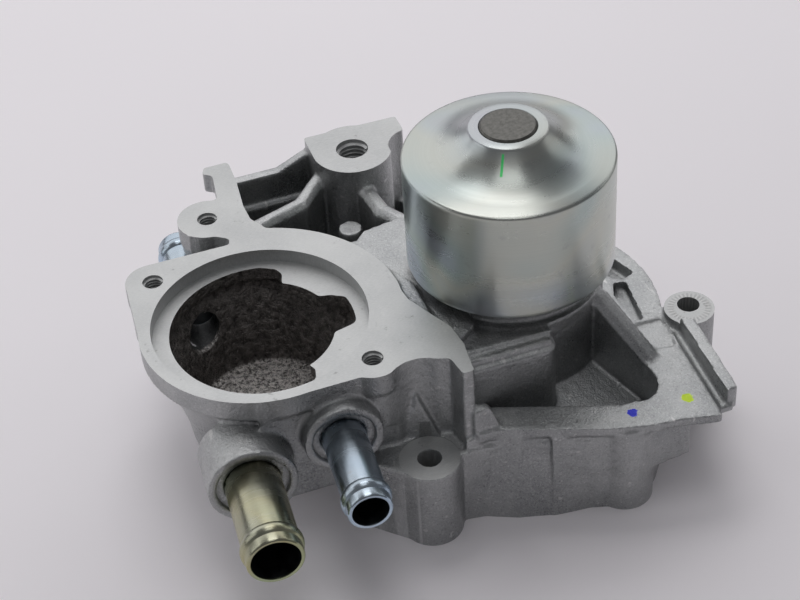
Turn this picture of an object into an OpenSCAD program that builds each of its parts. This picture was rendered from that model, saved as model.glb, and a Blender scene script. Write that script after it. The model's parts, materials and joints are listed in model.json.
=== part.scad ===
// Engine coolant pump: a die-cast housing with a thermostat chamber, a smooth belt pulley on an
// integral-shaft bearing, a face seal, an impeller and three pressed-in hose pipes.
// The origin is where the shaft axis meets the mounting face. +Z points along the shaft to the pulley.

/* [Pulley] */
// Radius of the belt surface
pulley_r = 30; // [29:0.5:31]
// Height of the open lower edge above the mounting face
pulley_low_z = 55.5; // [54.5:0.5:57]
// Height of the upper rim above the mounting face
pulley_rim_z = 90.5; // [89:0.5:91.5]
// Thickness of the belt wall
pulley_wall = 3; // [2:0.5:4]

/* [Shaft and bearing] */
// Radius of the shaft in the bearing and the pulley
shaft_r = 8; // [7.9:0.05:8.05]
// Height of the shaft's upper end
shaft_top_z = 100; // [99.8:0.1:101]
// Outer radius of the bearing's ring
ring_r = 15; // [14.8:0.1:15.2]
// Number of balls
ball_count = 9; // [7:1:9]
// Number of rollers
roller_count = 12; // [9:1:12]

/* [Impeller] */
// Outer radius of the impeller
impeller_r = 29.5; // [26:0.5:30.5]
// Number of vanes
vane_count = 7; // [5:1:8]

/* [Thermostat chamber] */
// Height of the machined cover face
plate_z = 54.5; // [54:0.5:55]
// Radius of the recess that takes the thermostat's gasket
seat_r = 30.75; // [29.5:0.25:31]
// Depth of the recess
seat_depth = 4.3; // [3:0.1:5]
// Distance between the two cover screws, across the chamber
cover_pcd = 73.5; // [73:0.1:74.5]

/* [Hose pipes] */
// Outer radius of the large front pipe
large_pipe_r = 7.9; // [7:0.1:8.2]
// Outer radius of the small front pipe
small_pipe_r = 6.2; // [5.5:0.1:6.6]
// Outer radius of the rear pipe
rear_pipe_r = 6.2; // [5.5:0.1:6.6]
// Wall thickness of the pipes
pipe_wall = 1.2; // [0.8:0.1:1.6]

/* [Mounting] */
// Radius of the bolt holes through the mounting bosses
bolt_hole_r = 3.3; // [3:0.1:3.6]
// Height of the front bolt boss
front_boss_z = 26.5; // [25:0.5:28]
// Height of the flat deck round the pump body
deck_z = 32; // [31:0.5:33]
// Height of the bracket's machined face
bracket_z = 56; // [55:0.5:57]

/* [Hidden] */
$fn = 96;
eps = 0.5;                       // how far a cutting shape runs past the face it cuts

// Clearances
running_gap = 0.05;
face_gap = 0.05;

// Pulley: a hub pressed on the shaft, a flared web and a plain wall
hub_r = 12.4;
hub_low_z = 80;
collar_r = 11.1;
collar_z = shaft_top_z - 0.5;
flare_start_angle = 46;
flare_end_angle = 8;
flare_end_r = 26.5;
flare_drop_r = (flare_end_r - collar_r) / (sin(flare_start_angle) - sin(flare_end_angle));
edge_break = 0.5;

// Bearing: balls near the pulley, rollers near the seal, both straight on the shaft
ring_low_z = 42;
ring_high_z = 78;
race_r = 12.4;
ball_r = 2.75;
pitch_r = 10.2;
ball_z = 70;
roller_r = pitch_r - shaft_r - running_gap;
roller_len = 9;
roller_z = 51;
bearing_seal_t = 1.6;
bearing_seal_in = 0.8;

// Shaft below the bearing
neck_r = 6.35;
neck_top_z = 41;
shaft_low_z = 3;

// Face seal, from the impeller upwards
sleeve_low_z = 13;
sleeve_wall = 0.6;
sleeve_high_z = 32;
sleeve_flange_r = 12;
sleeve_r = neck_r + sleeve_wall;
mating_low_z = 14.8;
mating_high_z = 18.5;
mating_in_r = 8.2;
mating_out_r = 11.6;
mating_cup_r = 12.8;
carbon_low_z = mating_high_z + face_gap;
carbon_high_z = 23;
carbon_in_r = 8.2;
carbon_out_r = 11.4;
cup_low_z = 22;
cup_high_z = 34;
cup_r = 16.5;
cup_wall = 0.8;
cup_flange_r = 18;
cup_in_r = 8.6;
bellows_wall = 1.2;
spring_r = 13.4;
spring_wire_r = 0.6;
spring_turns = 4;
spring_sides = 8;
spring_steps = 24;
spring_low_z = 25.2;
spring_high_z = 31.7;

// Impeller, open side up, below the suction chamber
disc_low_z = 3.2;
disc_high_z = 4.8;
vane_high_z = 11.2;
vane_arc_r = 20;
vane_t = 1.6;
impeller_hub_r = 9.4;
impeller_hub_high_z = 13;

// Pump chamber inside the housing
volute_r = 32.5;
volute_high_z = 12;
suction_r = 23.4;
suction_high_z = 33.5;
seal_tower_r = 20;
weep_low_z = cup_high_z;
weep_r = 12.8;
weep_hole_r = 2;
weep_hole_z = 38;
nose_r = 20.3;
nose_z = 78.6;

// Thermostat chamber
thermo = [-75.5, 1.2];
cover_angle = 130.5;
chamber_r = 34.2;
ring_out_r = 41;
throat_r = 27;
throat_shift = [1.2, 0.6];
land_r = 21;
throat_t = 4.5;
chamber_low_z = 16;
chamber_floor_z = 20.5;
throat_low_z = plate_z - seat_depth - throat_t + 0.2;
// Side of the chamber's bowl, from its floor up to the cover plate, as [radius, height]
bowl = [[23.4, chamber_low_z], [24.2, 23], [25.2, 28], [26.2, 32], [27.6, 36], [29.4, 40], [31.4, 44],
        [33.4, 48]];
bowl_wall = 2.9;
inner_bowl = [for (p = bowl) if (p[1] > chamber_floor_z && p[1] < 44) [p[0] - bowl_wall, p[1]]];
cover_hole_r = 2.5;
cover_hole_depth = 15;
belt_hole_depth = 8;
cover_hole_mouth_r = 3.25;
lobe_r = 8;
front_y = -32.8;

// The third lobe holds the belt cover's screw, and the post stands behind it
belt_hole = [-77, 51.3];
belt_lobe_r = 9;
belt_lobe_low_z = 44.4;
post_y = 76.5;

// Pipe bosses. Both front pipes point forwards and slightly to the left.
front_pipe_turn = -4.5;
large_boss = [-91.7, -40.2, 33];
large_boss_r = 12.6;
small_boss = [-64.5, -37.8, 38];
small_boss_r = 11.2;
front_pipe_out = 28;
pipe_in = 12;
rear_boss = [-86.3, 45, 36];
rear_boss_r = 9.6;
rear_pipe_out = 20;
rear_pipe_turn = -4;

// Base, deck and bosses
body_r = 44.2;
slab_z = 9;
front_boss = [-42, -42];
front_boss_r = 8.8;
scallop_r = 10.3;
lug = [48, -19.5];
lug_r = 7.4;
lug_z = 34;
lug_shift = [-0.4, -1.4];        // the lug's round end isn't quite on its hole
belly = [[-33.5, -44.4], [-27.6, -45.3], [-18.5, -49.8], [-8.6, -52.8], [2, -54]];
belly_draft = [1.2, 3, 3.6, 1.8];
back_boss = [4, 66];
right_boss = [33, 38];
corner_boss = [-52, 83.5];
back_boss_r = 7.8;
rib_r = 2.7;
dowel_boss = [13.5, -50.5];
dowel_boss_r = 8.4;
dowel_r = 4;
dowel_depth = 9;
pedestal_r = 26.6;
pedestal_z = 49;
neck_z = 51.8;
block_y = -33.4;
block_z = 46.5;
rib_high = [19.6, -19.4, 48];
rib_low = [30, -35.6, 32];
front_rib_r = 3.4;
rail_z = 36.4;
foot_z = 12.5;                   // underside of the deck's side wall
deck_lip = 3.2;
hidden_boss_z = 22;

// Bracket for the belt cover or a tensioner, with one large tapped hole
bracket_hole = [-26.2, 65.4];
bracket_hole_r = 4.25;
bracket_hole_mouth_r = 5.3;
bracket_hole_depth = 24;
bracket_round_r = 12.4;
wall_y = 73.4;
wall_back_y = 76.9;

// Points along an arc round c, from angle a0 to a1
function arc(c, r, a0, a1, steps = 12) =
    [for (i = [0:steps]) let (a = a0 + (a1 - a0) * i / steps) [c[0] + r * cos(a), c[1] + r * sin(a)]];

// ---------- Pulley and shaft ----------

// The web's upper face: a hollow flare from the collar out to the rim
function flare_points(r0, z0) =
    [for (i = [0:12])
        let (a = flare_start_angle + (flare_end_angle - flare_start_angle) * i / 12)
        [r0 + flare_drop_r * (sin(flare_start_angle) - sin(a)),
         z0 - flare_drop_r * (cos(a) - cos(flare_start_angle))]];

module pulley() {
    web_t = pulley_wall + 0.4;
    top = flare_points(collar_r, collar_z - edge_break);
    under = [for (i = [12:-1:3]) [top[i][0] - 0.4, top[i][1] - web_t]];
    inner_r = pulley_r - pulley_wall;
    color("silver")
    rotate_extrude()
        polygon(concat(
            [[shaft_r, hub_low_z], [shaft_r, collar_z - 0.3], [shaft_r + 0.3, collar_z],
             [collar_r - edge_break, collar_z]],
            top,
            [[pulley_r - 1.2, pulley_rim_z + 0.1], [pulley_r - 0.4, pulley_rim_z - 0.1],
             [pulley_r, pulley_rim_z - edge_break], [pulley_r, pulley_low_z + edge_break],
             [pulley_r - edge_break, pulley_low_z], [inner_r + edge_break, pulley_low_z],
             [inner_r, pulley_low_z + edge_break], [inner_r, under[0][1] - 1]],
            under,
            [[hub_r, hub_low_z + edge_break], [hub_r - edge_break, hub_low_z]]));
}

module bearing_shaft() {
    color("dimgray")
    difference() {
        union() {
            translate([0, 0, neck_top_z]) cylinder(h = shaft_top_z - neck_top_z - edge_break, r = shaft_r);
            translate([0, 0, shaft_top_z - edge_break])
                cylinder(h = edge_break, r1 = shaft_r, r2 = shaft_r - edge_break);
            translate([0, 0, shaft_low_z]) cylinder(h = neck_top_z - shaft_low_z, r = neck_r);
        }
        rotate_extrude() translate([pitch_r, ball_z]) circle(r = ball_r + running_gap);
    }
}

// ---------- Bearing ----------

module bearing_outer_ring() {
    color("lightslategray")
    difference() {
        translate([0, 0, ring_low_z]) cylinder(h = ring_high_z - ring_low_z, r = ring_r);
        translate([0, 0, ring_low_z - eps]) cylinder(h = ring_high_z - ring_low_z + 2 * eps, r = race_r);
        rotate_extrude() translate([pitch_r, ball_z]) circle(r = ball_r + running_gap);
    }
}

module bearing_balls() {
    color("gainsboro")
    for (i = [0:ball_count - 1])
        rotate(i * 360 / ball_count) translate([pitch_r, 0, ball_z]) sphere(r = ball_r, $fn = 48);
}

module ball_cage() {
    color("ivory")
    difference() {
        translate([0, 0, ball_z - 3.6]) cylinder(h = 4.6, r = pitch_r + 1.4);
        translate([0, 0, ball_z - 3.6 - eps]) cylinder(h = 4.6 + 2 * eps, r = pitch_r - 1.4);
        for (i = [0:ball_count - 1])
            rotate(i * 360 / ball_count) translate([pitch_r, 0, ball_z]) sphere(r = ball_r + 0.1, $fn = 48);
    }
}

module bearing_rollers() {
    color("gainsboro")
    for (i = [0:roller_count - 1])
        rotate(i * 360 / roller_count) translate([pitch_r, 0, roller_z - roller_len / 2])
            cylinder(h = roller_len, r = roller_r);
}

module roller_cage() {
    half = roller_len / 2;
    color("ivory")
    difference() {
        translate([0, 0, roller_z - half - 1.6]) cylinder(h = roller_len + 3.2, r = pitch_r + 0.9);
        translate([0, 0, roller_z - half - 1.6 - eps])
            cylinder(h = roller_len + 3.2 + 2 * eps, r = pitch_r - 0.9);
        for (i = [0:roller_count - 1])
            rotate(i * 360 / roller_count) translate([pitch_r, 0, roller_z - half - 0.1])
                cylinder(h = roller_len + 0.2, r = roller_r + 0.1);
    }
}

module bearing_seal(low_z) {
    color("black")
    difference() {
        translate([0, 0, low_z]) cylinder(h = bearing_seal_t, r = race_r);
        translate([0, 0, low_z - eps]) cylinder(h = bearing_seal_t + 2 * eps, r = shaft_r + running_gap);
        translate([0, 0, low_z + bearing_seal_t - 0.5])
            rotate_extrude() translate([shaft_r + 1, 0]) square([2.2, 1]);
    }
}

module front_bearing_seal() { bearing_seal(ring_high_z - bearing_seal_in - bearing_seal_t); }
module rear_bearing_seal() { bearing_seal(ring_low_z + bearing_seal_in); }

// ---------- Face seal ----------

module seal_cup() {
    color("goldenrod")
    rotate_extrude()
        polygon([
            [cup_flange_r, cup_low_z - cup_wall], [cup_flange_r, cup_low_z], [cup_r, cup_low_z],
            [cup_r, cup_high_z - 1], [cup_r - 1, cup_high_z], [cup_in_r, cup_high_z],
            [cup_in_r, cup_high_z - cup_wall], [cup_r - cup_wall - 0.4, cup_high_z - cup_wall],
            [cup_r - cup_wall, cup_high_z - cup_wall - 0.4], [cup_r - cup_wall, cup_low_z - cup_wall]]);
}

// Rubber bellows: a clamped foot under the cup's roof and a tube down to the carbon ring
module seal_bellows() {
    roof = cup_high_z - cup_wall;
    out = carbon_out_r + bellows_wall;
    color("black")
    rotate_extrude()
        polygon([
            [cup_in_r, roof], [cup_r - cup_wall - 0.8, roof], [cup_r - cup_wall - 0.8, roof - 0.8],
            [cup_in_r + 2.4, roof - 0.8], [cup_in_r + 2.4, roof - 4], [out, roof - 6],
            [out, carbon_high_z - 3], [carbon_out_r, carbon_high_z - 3], [carbon_out_r, carbon_high_z],
            [cup_in_r + 0.6, carbon_high_z], [cup_in_r + 0.6, roof - 5], [cup_in_r, roof - 4]]);
}

// Points of the spring's wire, ring by ring
function spring_points() =
    [for (i = [0:spring_turns * spring_steps]) for (k = [0:spring_sides - 1])
        let (a = 360 * i / spring_steps, b = 360 * k / spring_sides,
             z = spring_low_z + (spring_high_z - spring_low_z) * i / (spring_turns * spring_steps),
             r = spring_r + spring_wire_r * cos(b))
        [r * cos(a), r * sin(a), z + spring_wire_r * sin(b)]];

module seal_spring() {
    n = spring_sides;
    rings = spring_turns * spring_steps;
    sides = [for (i = [0:rings - 1]) for (k = [0:n - 1])
        [i * n + k, (i + 1) * n + k, (i + 1) * n + (k + 1) % n, i * n + (k + 1) % n]];
    color("lightsteelblue")
    polyhedron(
        points = spring_points(),
        faces = concat([[for (k = [0:n - 1]) k]], sides, [[for (k = [n - 1:-1:0]) rings * n + k]]));
}

// Ferrule: holds the bellows on the carbon ring and carries the spring's lower end
module seal_ferrule() {
    in = carbon_out_r + bellows_wall;
    color("goldenrod")
    rotate_extrude()
        polygon([
            [in, carbon_high_z - 3], [in + 0.5, carbon_high_z - 3], [in + 0.5, spring_low_z - 1.2],
            [spring_r + 1, spring_low_z - 1.2], [spring_r + 1, spring_low_z - 0.7],
            [in, spring_low_z - 0.7]]);
}

module tube_ring(low_z, high_z, in_r, out_r) {
    translate([0, 0, low_z])
        difference() {
            cylinder(h = high_z - low_z, r = out_r);
            translate([0, 0, -eps]) cylinder(h = high_z - low_z + 2 * eps, r = in_r);
        }
}

module carbon_ring() {
    color("dimgray")
    difference() {
        tube_ring(carbon_low_z, carbon_high_z, carbon_in_r, carbon_out_r);
        translate([0, 0, carbon_low_z])
            rotate_extrude() translate([carbon_out_r - 1.2, -eps]) square([2, 0.8 + eps]);
    }
}

module mating_ring() {
    color("whitesmoke") tube_ring(mating_low_z, mating_high_z, mating_in_r, mating_out_r);
}

module mating_ring_cup() {
    low = sleeve_low_z + 0.6;
    color("black")
    rotate_extrude()
        polygon([
            [sleeve_r, low], [mating_cup_r, low], [mating_cup_r, mating_high_z - 1],
            [mating_out_r, mating_high_z - 1], [mating_out_r, mating_low_z], [mating_in_r, mating_low_z],
            [mating_in_r, mating_high_z - 1], [sleeve_r, mating_high_z - 1]]);
}

module seal_sleeve() {
    color("goldenrod")
    rotate_extrude()
        polygon([
            [neck_r, sleeve_low_z], [sleeve_flange_r, sleeve_low_z],
            [sleeve_flange_r, sleeve_low_z + 0.6], [sleeve_r, sleeve_low_z + 0.6],
            [sleeve_r, sleeve_high_z], [neck_r, sleeve_high_z]]);
}

// ---------- Impeller ----------

module impeller_hub() {
    color("gray")
    difference() {
        union() {
            translate([0, 0, shaft_low_z])
                cylinder(h = impeller_hub_high_z - shaft_low_z, r = impeller_hub_r);
            translate([0, 0, shaft_low_z - 0.8]) cylinder(h = 1, r = impeller_hub_r + 1.8);
        }
        translate([0, 0, -eps]) cylinder(h = impeller_hub_high_z + 2 * eps, r = neck_r);
    }
}

// One vane: a thin arc that leans back from the eye to the rim
module vane() {
    centre = [6, vane_arc_r - 1];
    translate([0, 0, disc_high_z - 0.2])
        linear_extrude(height = vane_high_z - disc_high_z + 0.2)
            intersection() {
                difference() {
                    translate(centre) circle(r = vane_arc_r);
                    translate(centre) circle(r = vane_arc_r - vane_t);
                }
                difference() {
                    circle(r = impeller_r - 0.5);
                    circle(r = impeller_hub_r + 3);
                }
                translate([8, -6]) square([40, 40]);
            }
}

module impeller() {
    color("slategray")
    difference() {
        union() {
            translate([0, 0, disc_low_z]) cylinder(h = disc_high_z - disc_low_z, r = impeller_r);
            for (i = [0:vane_count - 1]) rotate(i * 360 / vane_count) vane();
        }
        translate([0, 0, -eps]) cylinder(h = vane_high_z + 2 * eps, r = impeller_hub_r);
        for (i = [0:2])
            rotate(i * 120 + 20) translate([13.5, 0, -eps]) cylinder(h = disc_high_z + 2 * eps, r = 1.6);
    }
}

// ---------- Hose pipes ----------

// A pipe along +X from x = -pipe_in to its free end, with a rounded bead near the end
module hose_pipe(r, out) {
    bead_h = 0.8;
    bead_x = out - 5;
    inner = r - pipe_wall;
    rotate([0, 90, 0])
        rotate_extrude()
            polygon(concat(
                [[inner, -pipe_in], [r - 0.4, -pipe_in], [r, 0.6 - pipe_in], [r, bead_x - 1.6]],
                [for (i = [1:7]) let (a = 180 * i / 8)
                    [r + bead_h * sin(a), bead_x - 1.6 * cos(a)]],
                [[r, bead_x + 1.6], [r, out - 0.5], [r - 0.4, out], [inner + 0.3, out],
                 [inner, out - 0.4]]));
}

module at_front_pipe(boss) { translate(boss) rotate(front_pipe_turn - 90) children(); }
module at_rear_pipe() { translate(rear_boss) rotate(90 + rear_pipe_turn) children(); }

module large_hose_pipe() {
    color("khaki") at_front_pipe(large_boss) hose_pipe(large_pipe_r, front_pipe_out);
}

module small_hose_pipe() {
    color("lightsteelblue") at_front_pipe(small_boss) hose_pipe(small_pipe_r, front_pipe_out);
}

module rear_hose_pipe() {
    color("lightsteelblue") at_rear_pipe() hose_pipe(rear_pipe_r, rear_pipe_out);
}

// ---------- Housing ----------

module slab(low_z, high_z) { translate([0, 0, low_z]) linear_extrude(height = high_z - low_z) children(); }

module post_at(place, low_z, high_z, r) {
    translate([place[0], place[1], low_z]) cylinder(h = high_z - low_z, r = r);
}

// Outline of the machined cover face: the ring, its three lobes, the post and the front-right wall
module plate_outline() {
    translate(thermo) circle(r = chamber_r);
    intersection() {
        translate(thermo) circle(r = ring_out_r);
        polygon([[-75.5, front_y], [-34, front_y], [-28, 0], [-50, 42], [-72, 42], [-75.5, 30]]);
    }
    for (side = [0, 180])
        translate(thermo) rotate(cover_angle + side) translate([cover_pcd / 2, 0]) circle(r = lobe_r);
    translate(belt_hole) circle(r = belt_lobe_r);
    polygon([[-109.4, 3], [-107.3, 28], [-99.4, 37.1], [-75.5, 36.8], [-75.5, 3]]);
    polygon([[-76, 36.8], [-74, 36.8], [-73.6, 39.5], [-76.5, 41.8], [-84.6, 45.6], [-77, 58],
             [-71.4, 59.9], [-69.8, 71.6], [-72.4, 73.6], [-71.2, post_y], [-64, post_y], [-63.4, 75.2],
             [-63.7, 66], [-65.2, 53], [-65, 46], [-62.6, 41.5], [-60, 30]]);
    polygon([[-56, front_y], [-56, 0], [-35, 0], [-34.4, -7], [-31, -15], [-27.4, -23], [-26.6, -31],
             [-27.4, -37], [-28, -42.3], [-32, -42.3], [-44, -33.4]]);
}

// Opening under the thermostat's seat: a wide throat with two lands on the pump's side and a notch
module throat_outline() {
    circle(r = land_r);
    difference() {
        translate(throat_shift) circle(r = throat_r);
        polygon([[0, 0], [11.6, 17.8], [12.8, 21.6], [11.6, 24.4], [7.6, 26.8], [9, 40], [40, 40], [40, -40],
                 [6.6, -27.4], [8.4, -24.6], [9.2, -21.5]]);
    }
    intersection() {
        circle(r = throat_r);
        polygon([[16, 8.6], [23, 6.8], [28, 3.6], [28, -5], [25, -7.6], [16, -9.6]]);
    }
}

// Outline of the part that meets the engine
module base_outline() {
    circle(r = body_r);
    translate(dowel_boss) circle(r = dowel_boss_r);
    polygon([[-62, 0], [-62, -33], [-57, -38.5], [-49.5, -46], [-36, -44.4], [-23, -45], [4, -54.6],
             [16, -58], [24, -50], [36, -34], [36, 0]]);
    polygon([[-66, 0], [-66, 62], [-64.4, wall_back_y], [-8, wall_back_y], [-4, 62], [30, 30], [0, 0]]);
}

// Flat deck round the right-hand side, with the rail that holds the belt cover's edge
module deck_outline() {
    circle(r = body_r);
    polygon([[-28, -20], [-28, -44.6], [-22, -44.8], [6, -56.2], [17, -59.3], [26, -60.4], [34.5, -62.6],
             [37.3, -63], [39.2, -30], [40, 0], [0, 0]]);
}

// Open pocket between the pedestal and the deck
module front_pocket_outline() {
    polygon(concat(
        [[-25, -10], [-25, -33.4], [13, -48.6]],
        arc([19.6, -42.3], 6.9, 250, 360, 10),
        [[26.4, -37.6], [25, -18], [20, -8]]));
}

// A rectangle from low to high with round corners
module round_pocket(low, high, r) {
    translate([low[0] + r, low[1]]) square([high[0] - low[0] - 2 * r, high[1] - low[1]]);
    translate([low[0], low[1] + r]) square([high[0] - low[0], high[1] - low[1] - 2 * r]);
    for (x = [low[0] + r, high[0] - r], y = [low[1] + r, high[1] - r]) translate([x, y]) circle(r = r);
}

// Solid parts of the casting below the deck
module housing_base() {
    slab(0, slab_z) base_outline();
    slab(0, front_boss_z)
        intersection() {
            base_outline();
            polygon([[-64, 0], [-64, -60], [40, -70], [40, 0]]);
        }
    for (i = [0:len(belly) - 2]) drafted_wall(belly[i], belly[i + 1], belly_draft[i]);
    slab(front_boss_z - 1, deck_z - 1)
        polygon([[-27, -30], [-27, -43.4], [-22, -43.6], [5.8, -55], [16.6, -58.2], [20.6, -57.2],
                 [20, -30]]);
    post_at([0, 0], 0, deck_z, body_r);
    slab(deck_z - deck_lip, deck_z) deck_outline();
    post_at(dowel_boss, 0, deck_z - 2, dowel_boss_r);
    slab(foot_z, deck_z - 1)
        polygon([[8, -55.6], [17, -58], [20.6, -57], [31.4, -55.8], [34, -20], [8, -30]]);
    belt_rail();
    corner_tab();
}

// Rail that holds the belt cover's edge, along the right-hand end of the deck
module belt_rail() {
    slab(deck_z - deck_lip - 0.4, rail_z)
        polygon([[40.2, -58.9], [43.8, -58.6], [45.6, -30], [44.8, -24.6], [42, -24.6]]);
    slab(deck_z - deck_lip, deck_z - 0.8) polygon([[34, -60], [42, -60], [46, -26], [40, -20], [34, -40]]);
}

// Wall between plan points a and b that leans back by draft at the deck, a little longer at both ends
module drafted_wall(a, b, draft) {
    extra = 0.6;
    translate([a[0], a[1], 0]) rotate(atan2(b[1] - a[1], b[0] - a[0]))
        translate([-extra, 0, 0]) rotate([90, 0, 90])
            linear_extrude(height = norm(b - a) + 2 * extra)
                polygon([[0, 0], [9, 0], [9, deck_z - 2], [draft, deck_z - 2]]);
}

// Small upright tab between the front wall and the deck
module corner_tab() {
    translate([0, -40.8, 0])
        rotate([90, 0, 0])
            linear_extrude(height = 2.9)
                polygon([[-29, 25], [-29, 39.6], [-26.4, 40.5], [-24.6, 40.2], [-23.5, 38.8], [-21, 31.4],
                         [-21, 28], [-23, 25]]);
}

// Raised centre of the pump body, with the flat-faced block and the bearing's nose
module housing_centre() {
    post_at([0, 0], 0, pedestal_z, pedestal_r);
    slab(0, block_z - 1)
        polygon([[-29.5, -10], [-29.5, block_y], [-3.4, block_y - 0.6], [-1.4, block_y - 0.2],
                 [0.1, block_y + 1], [0.8, block_y + 2.8], [1.6, -20]]);
    slab(0, block_z + 1) polygon([[-29.5, -10], [-29.5, block_y + 1.6], [-0.8, block_y + 1.2], [1, -20]]);
    slab(0, block_z + 2) polygon([[-29.5, -10], [-29.5, block_y + 4.6], [0, block_y + 4.2], [1.3, -20]]);
    slab(10, neck_z)
        polygon([[-62, 20], [-48, -28], [-30, -28], [-26, -26], [-20, -22], [-16, 10], [-18, 25],
                 [-22, 32.4], [-29.2, 31.3], [-34.8, 30.4], [-38, 27], [-40.1, 27.1], [-41.8, 28.6],
                 [-43.1, 31.1], [-45.4, 33.7], [-49.5, 36.5], [-54, 38]]);
    post_at([0, 0], 0, nose_z, nose_r);
    post_at([0, 0], 0, neck_z + 1.6, nose_r + 4);
}

module at_thermo() { translate([thermo[0], thermo[1], 0]) children(); }

// Thermostat chamber, its cover face and the walls that hang from it
module housing_chamber() {
    slab(plate_z - 7, plate_z) plate_outline();
    at_thermo()
        rotate_extrude()
            polygon(concat([[0, plate_z - 1], [0, chamber_low_z]], bowl, [[33.4, plate_z - 1]]));
    slab(chamber_low_z, plate_z - 1)
        polygon([[-86, front_y + 0.8], [-30, front_y + 0.8], [-30, 0], [-40, 22], [-62, 30], [-80, 20]]);
    slab(front_boss_z - 1, plate_z - 1)
        polygon([[-56, front_y + 0.1], [-44, front_y - 0.5], [-33, -41.6], [-32, -42.1], [-27.8, -42.1],
                 [-27.1, -36.6], [-26.8, -31], [-28, -20], [-56, -20]]);
    translate([0, 0, plate_z - 20])
        for (side = [0, 180])
            at_thermo() rotate(cover_angle + side) translate([cover_pcd / 2, 0, 0])
                cylinder(h = 19, r = lobe_r - 0.5);
    post_at(belt_hole, belt_lobe_low_z, plate_z - 1, belt_lobe_r - 0.5);
    scallop_gusset();
}

// A small upright fin in the scallop over the front boss, like half a tent
module scallop_gusset() {
    tall = 16;
    translate([-40.9, -33.9, front_boss_z - 0.5])
        rotate(-20)
            intersection() {
                rotate([90, 0, 0])
                    linear_extrude(height = 20, center = true) polygon([[-4.9, 0], [4.9, 0], [-1.3, tall]]);
                rotate([90, 0, 90])
                    linear_extrude(height = 20, center = true)
                        polygon([[0, 0], [8, 0], [8, tall], [0.6, tall]]);
            }
}

// Walls and ribs round the open pocket behind the thermostat chamber
module housing_back() {
    slab(0, plate_z - 1) polygon([[-70.5, 36], [-70.5, 60], [-68.6, post_y], [-65, post_y], [-66.6, 36]]);
    back_wall();
    slab(0, 38) polygon([[-68, wall_y - 2.2], [-68, post_y], [-30, wall_back_y], [-30, wall_y - 2.2]]);
    slab(0, 30)
        polygon([[-30, wall_y], [-30, wall_back_y], [-8, wall_back_y], [-3, 50], [4, 30], [-6, 28],
                 [-12, wall_y]]);
    slab(slab_z - 1, bracket_z) bracket_outline();
    sloped_rib([-33.6, 68], [-46.4, 56.4], 51.5, 48.6);
    sloped_rib([-46.4, 56.4], [-65, 51.6], 48.6, 47.4);
    sloped_rib([-27, 60], [-25, 42.5], 49.5, 49.5);
    sloped_rib([-25, 42.5], [-20, 32], 49.5, 50);
    post_at([-35.4, 42.7], slab_z - 1, 44, 3.6);
}

// Rear wall: its top edge climbs to the bracket
module back_wall() {
    translate([0, wall_back_y, 0])
        rotate([90, 0, 0])
            linear_extrude(height = wall_back_y - wall_y)
                polygon([[-68, 0], [-68, 48], [-48.4, 48], [-36, 53.6], [-30, 53.6], [-30, 0]]);
}

module bracket_outline() {
    difference() {
        union() {
            translate(bracket_hole) circle(r = bracket_round_r);
            polygon([[-38.4, wall_back_y], [-38.6, 64], [-14, 62], [-8.2, 69], [-8.2, wall_back_y - 0.6]]);
        }
        translate([-7.4, 60.2]) circle(r = 8.2);
    }
}

// A rib from a to b whose top runs from height za to height zb, with both top edges stepped back
module sloped_rib(a, b, za, zb) {
    len = norm(b - a);
    translate([a[0], a[1], 0]) rotate(atan2(b[1] - a[1], b[0] - a[0]))
        for (step = [[0, 1.7], [0.6, 0.7], [1.5, 0]])
            rotate([90, 0, 0])
                linear_extrude(height = 2 * (rib_r - step[0]), center = true)
                    polygon([[step[0] - 1.6, slab_z - 1], [step[0] - 1.6, za - step[1]],
                             [len + 1.6 - step[0], zb - step[1]], [len + 1.6 - step[0], slab_z - 1]]);
}

module housing_bosses() {
    post_at(front_boss, 0, front_boss_z + 0.4, front_boss_r);
    post_at(lug + lug_shift, 0, lug_z, lug_r);
    slab(0, 24) polygon([[38, -22], [48, -26.5], [50, -12.5], [38, 0]]);
    for (place = [back_boss, right_boss, corner_boss]) post_at(place, 0, hidden_boss_z, back_boss_r);
    slab(0, 16) polygon([[-60, 72], [-59, 82], [-45, 82], [-44, 72]]);
    slab(0, 16) polygon([[-6, 42], [-3, 66], [4, 71], [10.6, 66], [12, 40]]);
    at_front_pipe(large_boss) rotate([0, -90, 0]) cylinder(h = 16, r = large_boss_r);
    at_front_pipe(small_boss) rotate([0, -90, 0]) cylinder(h = 12, r = small_boss_r);
    at_rear_pipe() rotate([0, -90, 0]) cylinder(h = 22, r = rear_boss_r);
}

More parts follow.
